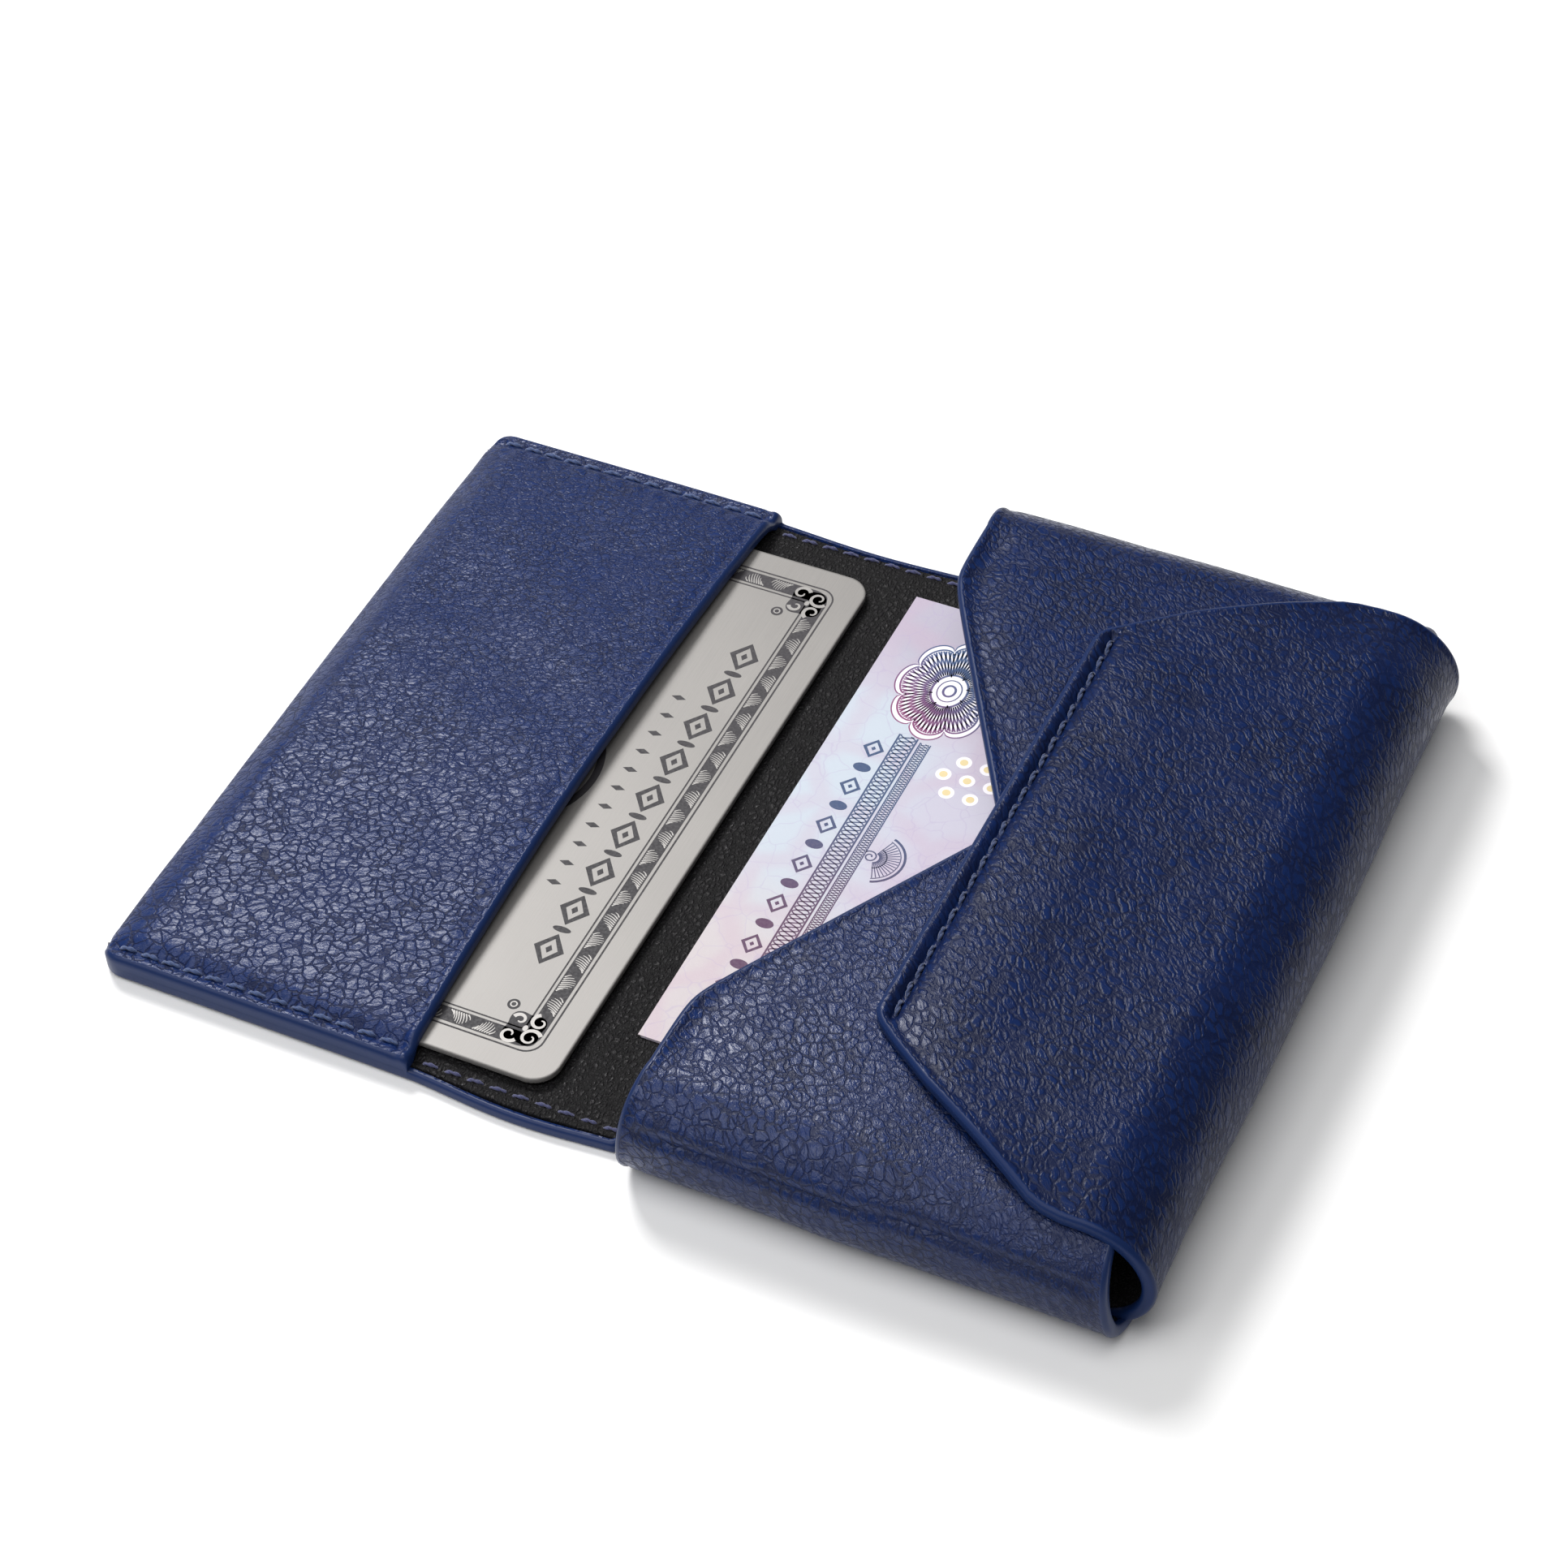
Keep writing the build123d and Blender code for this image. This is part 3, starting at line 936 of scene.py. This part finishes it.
def build_flap():
    def place(flat):
        x, z = end_section(flat[..., 1])
        tip_droop, corner_droop = 0.55, 1.3
        corner = smooth(np.abs(flat[..., 0]), 36, 48.5) * smooth(x, 40, 54)
        droop = tip_droop * smooth(-x, -38, -26)
        droop = droop + corner_droop * corner * smooth(flat[..., 1], 0, END_ARC)
        return np.stack([x, flat[..., 0], z - droop], -1)

    def relief(flat, d):
        """The sewn groove with its scalloped sides, a raised welt on one side of it and
        puffed leather on the other."""
        y, s = flat[..., 0], flat[..., 1]
        x = END_X - (s - END_ARC)
        top = smooth(s, END_ARC - 3, END_ARC + 3)
        inner = smooth(d, 0.8, 3.0)
        half = 30.8
        off_end = np.maximum(np.abs(y) - half, 0)
        slot = np.hypot(x - GROOVE_X, off_end)
        scallop = 0.12 * np.cos(2 * math.pi * y / PITCH)
        wide = 0.5 + 0.5 * scallop
        h = -0.7 * np.exp(-((slot / wide) ** 4))
        h = h + 0.16 * bell(x, GROOVE_X - 1.1, 0.5) * smooth(half + 1 - np.abs(y), 0, 2)
        puff = smooth(x - GROOVE_X, 0.3, 2.2) * smooth(GROOVE_X + 15 - x, 0, 12)
        h = h + 0.42 * puff * smooth(34 - np.abs(y), 0, 8)
        soft = 0.2 * ripple(x, y, 15, 41) + 0.06 * ripple(x, y, 4.5, 42)
        wall = 0.25 * np.cos(math.pi * y / 48) * bell(s, END_ARC / 2, 9)
        return h * top + (soft + wall) * inner

    end = END_ARC + END_X - FLAP_TIP_X
    s = np.concatenate([spread(0, end - 4.5, 110)[0][:-1], spread(end - 4.5, end, 8)[0]])
    x = np.where(s > END_ARC, END_X - (s - END_ARC), END_X)
    outline_x = [25.2, 25.3, 25.6, 26.1, 26.9, 28.9, 34.2, 49.4, 51.2, 53.5, 55.2]
    outline_half = [29.9, 30.6, 31.2, 31.9, 32.6, 34.2, 38.0, 47.0, 47.6, 47.9, 47.9]
    outline_x = np.array(outline_x) - outline_x[0] + FLAP_TIP_X
    wide = np.interp(x, outline_x, outline_half)
    pair = sheet_pair("flap", place, relief, s, -wide, wide, columns=150, sign=-1)
    hinge(pair, "flap", (RIGHT_X * MM, 0), bend_low=6.6, bend_high=10.6)

    sink = 1.0
    middles = [(GROOVE_X, y, FLAP_TOP - sink) for y in np.arange(-10.5, 11) * PITCH]
    sewing = {"thick": 0.32, "length": 2.35, "seed": 100}
    row = seam_row("flap_stitches", middles, (0, 1.0, 0), shaded_flap_thread, **sewing)
    assign(row, ["flap_thread"], "flap")


# ---- contents ----
# The card's corner radius, the middle of the dark band round its border, and the leaves
# in that band: how far apart they are and how many strokes each has.
CARD_CORNER = 3.18
BAND_INSET = 4.75
LEAF_PITCH = 3.5
STROKES = 8

# The note's rosette, half its size along the note and across it, and the dots in its ring.
ROSETTE = (6.0, 7.6)
DOTS = 6


def rounded_plate(name, material, low, high, corner, bevel, rows, columns):
    """A flat plate with rounded corners and softened edges."""
    x0 = spread(low[0], high[0], rows)[0]
    near = np.clip(np.minimum(x0 - low[0], high[0] - x0), 0, corner)
    middle, half = (low[1] + high[1]) / 2, (high[1] - low[1]) / 2
    half = half - (corner - np.sqrt(corner**2 - (corner - near) ** 2))
    y = middle + spread(-half, half, columns)
    x = x0[:, None] * np.ones_like(y)
    flat = pairs(x, y)
    d = distance_to(flat, [flat[0], flat[-1], flat[:, 0], flat[:, -1]])
    top, bottom = high[2] - rounding(d, bevel), low[2] + rounding(d, bevel)
    return layer(name, material, x, y, top, bottom, flat, d)


def ink_material(name, dark, light, low, high, direction=(0.0, 1.0)):
    """Ink that changes from dark to light between two places along direction."""
    n = Nodes(name)
    flat = n.attribute("pattern")
    along = n.times(n.axis(flat, 0), direction[0])
    along = n.add(along, n.times(n.axis(flat, 1), direction[1]))
    grain = n.noise(flat, 3.0, 3.0)
    along = n.add(along, n.times(grain, 4.0))
    colour = n.tint(n.step(along, low, high), dark, light)
    rough = n.step(grain, 0.3, 0.7, 0.55, 0.55 + 0.15)
    return n.finish(Base_Color=colour, Roughness=rough, Normal=n.bump(grain, 0.01))


def border_sides(low, high, inset, corner):
    """Middle line of each straight side of the border, with its inward direction."""
    (x0, y0), (x1, y1) = np.array(low[:2]) + inset, np.array(high[:2]) - inset
    gap = corner - inset
    return (
        ((x1, y0 + gap), (x1, y1 - gap), (-1, 0)),
        ((x0, y1 - gap), (x0, y0 + gap), (1, 0)),
        ((x1 - gap, y1), (x0 + gap, y1), (0, -1)),
        ((x0 + gap, y0), (x1 - gap, y0), (0, 1)),
    )


def engrave_leaves(silver, start, end, inward, half):
    """Leaves made of slanting strokes, turned over one after another."""
    start, end, inward = np.array(start), np.array(end), np.array(inward)
    length = np.linalg.norm(end - start)
    along = (end - start) / length
    count = max(1, round(length / LEAF_PITCH))
    pitch = length / count
    t = np.linspace(0, 1, 5)
    for leaf in range(count):
        flip = 1 if leaf % 2 else -1
        for k in range(STROKES):
            share = (k + 0.5) / STROKES
            tall = half * (0.35 + 1.55 * math.sin(math.pi * share) ** 0.8)
            u = (leaf + 0.08 + 0.72 * share) * pitch + 0.5 * t + 0.12 * np.sin(math.pi * t)
            v = flip * (half * 0.92 - tall * t)
            path = start + u[:, None] * along + v[:, None] * inward
            silver.ribbon(path, 0.17 * (1 - 0.6 * t))


def engrave_corner(ink, silver, x, y, sx, sy):
    """A dark corner with scrolls. x, y is the card's corner, sx and sy point inwards."""

    def at(points):
        return np.array([x, y]) + points * np.array([sx, sy])

    turn = np.linspace(0, 2 * math.pi, 60, endpoint=False)
    radius = 2.35 + 0.3 * np.cos(4 * (turn - math.pi / 4))
    lobe_at, dot_at = 6.2, 8.9
    ink.fill(at(pairs(lobe_at + radius * np.cos(turn), lobe_at + radius * np.sin(turn))))
    ink.fill(at(oval(dot_at, dot_at, 0.75, 0.75, 20)))
    width = np.linspace(0.5, 0.16, 26)
    for cx, cy, start, turns, inner, outer in (
        (5.0, 5.2, 2.6, -1.1, 1.25, 0.3),
        (7.4, 4.9, 3.6, 0.95, 1.1, 0.3),
        (4.9, 7.6, 1.2, -0.95, 1.1, 0.3),
        (7.2, 7.2, 0.2, 0.8, 0.85, 0.25),
    ):
        silver.ribbon(at(spiral(cx, cy, start, turns, inner, outer)), width)
    silver.fill(at(oval(6.1, 6.3, 0.3, 0.42, 14)))
    silver.ring(*at(np.array([dot_at, dot_at])), 0.36, 0.16, 16)


def build_card():
    shape = {"corner": CARD_CORNER, "bevel": 0.14, "rows": 30, "columns": 40}
    card = rounded_plate("card_plate", card_metal, card_low, card_high, **shape)
    assign(card, ["metal_card"], "card")

    top = card_high[2]
    ink, silver = Inlay(top - 0.03, top + 0.012), Inlay(top, top + 0.024)
    for inset, corner, width in ((3.3, 2.0, 0.22), (BAND_INSET, 1.3, 1.95), (6.15, 0.6, 0.2)):
        ink.ribbon(rounded_frame(card_low, card_high, inset, corner), width, closed=True)
    for start, end, inward in border_sides(card_low, card_high, BAND_INSET, 8.6):
        engrave_leaves(silver, start, end, inward, half=0.84)
    for x, sx in ((card_low[0], 1), (card_high[0], -1)):
        for y, sy in ((card_low[1], 1), (card_high[1], -1)):
            engrave_corner(ink, silver, x, y, sx, sy)
    middle = (card_low + card_high) / 2
    row_offset, row_pitch, small_offset, small_pitch = 17.9, 6.3, 13.7, 3.2
    for side in (-1, 1):
        row_x = middle[0] + side * row_offset
        for i in range(9):
            y = middle[1] + (i - 4) * row_pitch
            ink.ribbon(lozenge(row_x, y, 1.5, 2.0), 0.8, closed=True)
            ink.fill(lozenge(row_x, y, 0.42, 0.62))
            if i < 8:
                ink.fill(oval(row_x, y + row_pitch / 2, 1.15, 0.42, 20))
    row_x = middle[0] + small_offset
    for i in range(11):
        ink.fill(lozenge(row_x, middle[1] + (i - 5) * small_pitch, 0.95, 0.42))
    ink.ring(middle[0], middle[1], 10.4, 0.9, 72)
    ink.ring(middle[0], middle[1], 9.2, 0.25, 72)
    for i in range(12):
        angle = i * math.pi / 6
        petal = oval(5.2, 0, 2.6, 0.95, 24)
        c, s = math.cos(angle), math.sin(angle)
        ink.fill(middle[:2] + petal @ np.array([[c, s], [-s, c]]))
    dark = ink_material("card_ink", rgb(34, 32, 37), rgb(46, 43, 48), -40, 40)
    bright = metal_material(
        "card_engraving", rgb(132, 130, 128), rgb(160, 157, 154),
        rough_low=0.4, rough_high=0.5, metallic=0.3,
    )
    for inlay, name, material in ((ink, "card_border", dark), (silver, "card_scrolls", bright)):
        assign(inlay.build(name, material, weld=False), [], "card")


def paper_material():
    """Banknote paper with a soft pastel wash, faint fibres, and painted shade towards its back
    edge.
    """
    n = Nodes("note_paper")
    flat = n.attribute("pattern")
    x, y = n.axis(flat, 0), n.axis(flat, 1)
    sway_y = n.add(y, n.times(n.noise(flat, 0.09, 3.0), 16.0))
    colour = n.tint(n.step(sway_y, -14.0, 12.0), rgb(198, 190, 193), rgb(190, 199, 210))
    # Towards the back edge the paper turns a darker mauve: painted shade.
    colour = n.tint(n.step(sway_y, 28.0, 44.0, 0.0, 0.7), colour, rgb(170, 157, 176))
    colour = n.tint(n.step(x, 6.0, 14.0, 0.0, 0.85), colour, rgb(192, 187, 203))
    leaves = n.step(n.cells(n.warped(flat, 0.4, 1.0), 0.11), 0.02, 0.2)
    colour = n.tint(n.mix(leaves, 0.25, 0.0), colour, rgb(190, 158, 180))
    veins = n.cells(n.warped(flat, 0.3, 2.0), 0.3)
    colour = n.tint(n.step(veins, 0.0, 0.03, 0.3, 0.0), colour, rgb(170, 156, 190))
    fibre = n.noise(flat, 2.5, 4.0, 0.6)
    return n.finish(
        Base_Color=colour,
        Roughness=n.step(fibre, 0.3, 0.7, 0.62, 0.78),
        Normal=n.bump(fibre, 0.02),
        Specular_IOR_Level=0.3,
    )


def folded_note():
    """The note folded in three, as one sheet of paper."""
    paper, turn_r = 0.09, 0.065
    levels = [note_high[2] - paper / 2 - i * 2 * turn_r for i in range(3)]
    low_x, high_x = note_low[0] + 0.4, note_high[0] - turn_r - paper / 2
    arc = np.linspace(0, math.pi, 8)

    def straight(start, end, number, z):
        return pairs(np.linspace(start, end, number), np.full(number, z))

    def fold(x, way, z):
        return pairs(x + way * turn_r * np.sin(arc), z - turn_r * (1 - np.cos(arc)))

    path = (
        straight(note_low[0], high_x, 40, levels[0]),
        fold(high_x, 1, levels[0]),
        straight(high_x, low_x, 30, levels[1]),
        fold(low_x, -1, levels[1]),
        straight(low_x, high_x - 1, 30, levels[2]),
    )
    path = np.concatenate(path)
    side = left_of(np.gradient(path, axis=0))
    y = np.linspace(note_low[1], note_high[1], 40)
    faces = []
    for half in (paper / 2, -paper / 2):
        line = path + side * half
        x, z = line[:, :1] * np.ones(len(y)), line[:, 1:] * np.ones(len(y))
        faces.append(np.dstack([x, y * np.ones_like(x), z]))
    travelled = np.append(0, np.cumsum(np.hypot(*np.diff(path, axis=0).T)))
    flat = np.dstack([note_low[0] + travelled[:, None] * np.ones(len(y)), faces[0][..., 1]])
    p = Patch()
    p.shell(faces[0], faces[1], flat, INNER)
    return p, (travelled[-1] * MM, (note_high[1] - note_low[1]) * MM)


def rosette_lobes(angle):
    return 0.84 + 0.19 * np.sqrt(np.abs(np.cos(4 * angle)))


def print_rosette(ink, white, x, y):
    """A lobed rosette of fine lines that cross as they run outwards."""
    turn = np.linspace(0, 2 * math.pi, 160, endpoint=False)
    lobes = rosette_lobes(turn)
    along, across = ROSETTE
    shape = pairs(along * lobes * np.cos(turn), across * lobes * np.sin(turn))
    middle = np.array([x, y])
    white.fill(middle + shape * 1.07)
    ink.ribbon(middle + shape * 1.09, 0.16, closed=True)
    ink.ribbon(middle + shape * 0.98, 0.24, closed=True)
    reach = np.linspace(0.38, 0.95, 9)
    for k in range(64):
        for way in (-1, 1):
            angle = k * 2 * math.pi / 64 + way * 0.22 * (reach - 0.38)
            lobe = rosette_lobes(angle)
            curl = pairs(along * np.cos(angle), across * np.sin(angle))
            ink.ribbon(middle + curl * (lobe * reach)[:, None], 0.12 + 0.12 * reach)
    for grow, width in ((0.36, 0.3), (0.24, 0.16), (0.12, 0.3)):
        ink.ribbon(oval(x, y, along * grow, across * grow), width, closed=True)


def print_band(ink, low_x, high_x, low_y, high_y, period, width):
    """Two lines with a braid of waves between them."""
    middle, half = (low_x + high_x) / 2, (high_x - low_x) / 2
    y = np.arange(low_y, high_y, period / 12)
    for x in (low_x, high_x):
        ink.ribbon([(x, low_y), (x, high_y)], width * 1.3)
    for phase in (0, 2.1, 4.2):
        wave = middle + (half - width) * np.sin(2 * math.pi * y / period + phase)
        ink.ribbon(pairs(wave, y), width)


def print_fan(ink, x, y):
    """A shell fan drawn in fine lines."""
    for radius, width in ((3.7, 0.3), (3.2, 0.12), (1.6, 0.14)):
        turn = np.linspace(-1.25, 1.25, 30)
        ink.ribbon(pairs(x + radius * np.cos(turn), y + radius * np.sin(turn)), width)
    for turn in np.linspace(-1.2, 1.2, 17):
        ray = np.array([math.cos(turn), math.sin(turn)])
        ink.ribbon([np.array([x, y]) + ray * 0.7, np.array([x, y]) + ray * 3.1], 0.12)
    ink.ribbon(spiral(x - 0.4, y, 0, 1.4, 0.2, 0.9), 0.18)


def build_note():
    sheet, flat = folded_note()
    note = sheet.build("note_sheet", paper_material())
    assign(note, ["banknote"], "note")

    x, y, top = note_low[0], (note_low[1] + note_high[1]) / 2, note_high[2]
    white, gold = Inlay(top - 0.02, top + 0.006), Inlay(top, top + 0.012)
    ink, bloom = Inlay(top - 0.02, top + 0.012), Inlay(top - 0.02, top + 0.014)
    print_rosette(bloom, white, x + 10.2, y + 24.3)
    low_y = note_low[1] + 0.4
    print_band(ink, x + 7.7, x + 10.0, low_y, y + 15.6, period=2.1, width=0.17)
    print_band(ink, x + 10.5, x + 11.8, low_y, y + 15.2, period=1.2, width=0.11)
    row_x, row_start, row_pitch = x + 5.8, y + 12.2, 3.3
    for i in range(15):
        row_y = row_start - row_pitch * i
        if i % 2:
            ink.fill(oval(row_x, row_y, 1.1, 0.7, 20))
        else:
            ink.ribbon(lozenge(row_x, row_y, 1.1, 1.3), 0.5, closed=True)
            ink.fill(lozenge(row_x, row_y, 0.3, 0.35))
    print_fan(ink, x + 12.9, y - 3.6)
    turn = np.arange(DOTS) * 2 * math.pi / DOTS
    ring_radius, ring_middle = 3.0, (18.0, 11.6)
    petals = pairs(np.cos(turn), np.sin(turn)) * ring_radius
    for dx, dy in np.vstack([petals, [(0, 0)]]) + ring_middle:
        white.disc(x + dx, y + dy, 0.95)
        gold.disc(x + dx, y + dy, 0.5)
    pale = ink_material("note_white", rgb(236, 230, 238), rgb(236, 234, 240), -40, 40)
    yellow = ink_material("note_gold", rgb(214, 192, 140), rgb(222, 204, 156), -40, 40)
    blue = ink_material("note_ink", rgb(84, 52, 84), rgb(52, 74, 112), -12.0, 12.0)
    plum = ink_material("note_rosette", rgb(132, 62, 108), rgb(58, 84, 126), 21.0, 33.0, (0.6, 0.8))
    for inlay, name, material in (
        (white, "note_grounds", pale),
        (gold, "note_dots", yellow),
        (ink, "note_bands", blue),
        (bloom, "note_flower", plum),
    ):
        assign(inlay.build(name, material, weld=False), [], "note")


def build_disc(name, node, body, material, drop):
    """A thin turned disc with softened edges, inside the leather."""
    low, high = box_mm(node)
    middle, radius = (low + high) / 2, (high[0] - low[0]) / 2 * 0.9
    bottom, top = low[2] - drop, high[2] - drop - 0.08
    soft = 0.1
    reach = [0.02, 0.5, 0.9, 1 - soft / radius, 1 - 0.3 * soft / radius, 1]
    turn = np.linspace(0, 2 * math.pi, 49)
    r = np.array(reach)[:, None] * radius * np.ones_like(turn)
    x, y = middle[0] + r * np.cos(turn), middle[1] + r * np.sin(turn)
    edge = rounding(radius - r, soft)
    disc = layer(name, material, x, y, top - edge, bottom + edge, pairs(x, y), INNER)
    assign(disc, [node], body)


def build_closure():
    magnet = metal_material(
        "magnet_steel", rgb(120, 122, 126), rgb(176, 178, 182), rough_low=0.25, rough_high=0.4
    )
    keeper = metal_material(
        "keeper_steel", rgb(96, 98, 102), rgb(150, 152, 156), rough_low=0.3, rough_high=0.5
    )
    for side in ("front", "back"):
        node = f"flap_magnet_{side}"
        build_disc(f"magnet_disc_{side}", node, "flap", magnet, drop=0.35)
        node, body = f"{side}_wing_keeper", f"{side}_wing"
        build_disc(f"keeper_disc_{side}", node, body, keeper, drop=0.0)


# ---- stage ----
def build_stage():
    n = Nodes("floor_paper")
    place = n.node("ShaderNodeTexCoord", {}).outputs["Object"]
    mottle = n.noise(place, 3.0, 2.0)
    colour = n.tint(mottle, (0.93, 0.93, 0.93, 1), (0.95, 0.95, 0.95, 1))
    white = n.finish(Base_Color=colour, Roughness=0.9, Specular_IOR_Level=0.1)
    p = Patch()
    half_floor, drop = 3000.0, 0.02
    xs = np.linspace(-half_floor, half_floor, 5)
    x, y = np.meshgrid(xs, xs, indexing="ij")
    p.grid(np.dstack([x, y, 0 * x - drop]), np.dstack([x, y]), INNER)
    floor = p.build("floor", white)

    world = bpy.data.worlds.new("studio")
    bpy.context.scene.world = world
    world.use_nodes = True
    background = world.node_tree.nodes["Background"]
    background.inputs["Color"].default_value = (1.0, 1.0, 1.0, 1)
    background.inputs["Strength"].default_value = 0.2

    # Square lights aimed at the wallet. Azimuth is from +Y towards -X, in degrees, distance
    # and size are in metres and power in watts.
    for name, azimuth, elevation, distance, size, power, colour in (
        ("key_back_left", 52, 51, 0.62, 0.2, 3.4, (1.0, 0.99, 0.98)),
        ("side_left", 140, 48, 0.9, 0.5, 1.9, (1.0, 1.0, 1.0)),
        ("overhead", 185, 74, 0.9, 0.6, 3.6, (1.0, 1.0, 1.0)),
    ):
        a, e = math.radians(azimuth), math.radians(elevation)
        away = Vector((-math.sin(a) * math.cos(e), math.cos(a) * math.cos(e), math.sin(e)))
        data = bpy.data.lights.new(name, "AREA")
        data.size, data.energy, data.color = size, power, colour
        light = bpy.data.objects.new(name, data)
        light.location = away * distance
        light.rotation_mode = "QUATERNION"
        light.rotation_quaternion = away.to_track_quat("Z", "Y")
        bpy.context.scene.collection.objects.link(light)


def build_camera():
    """The photograph's viewing angle, worked out from the wallet's own corners."""
    azimuth, elevation, roll = (math.radians(v) for v in (27.96, 46.39, -3.62))
    distance, target = 455.18, Vector((-4.92, 8.84, 0))
    level = math.cos(elevation)
    back = Vector((math.sin(azimuth) * level, -math.cos(azimuth) * level, math.sin(elevation)))
    right = (-back).cross(Vector((0, 0, 1))).normalized()
    up = right.cross(-back)
    across = right * math.cos(roll) + up * math.sin(roll)
    up = up * math.cos(roll) - right * math.sin(roll)
    data = bpy.data.cameras.new("camera")
    data.lens = 89.27
    data.sensor_width = 36
    data.clip_start, data.clip_end = 0.01, 20
    camera = bpy.data.objects.new("camera", data)
    place = (target + back * distance) * MM
    rows = [[across[i], up[i], back[i], place[i]] for i in range(3)]
    camera.matrix_world = Matrix([*rows, [0, 0, 0, 1]])
    bpy.context.scene.collection.objects.link(camera)
    bpy.context.scene.camera = camera


build_pocket()
strip_blend = build_strip()
build_seams(strip_blend)
build_wing("back", 1)
build_wing("front", -1)
build_flap()
build_card()
build_note()
build_closure()
build_stage()
build_camera()
bpy.context.scene.view_settings.view_transform = "Standard"
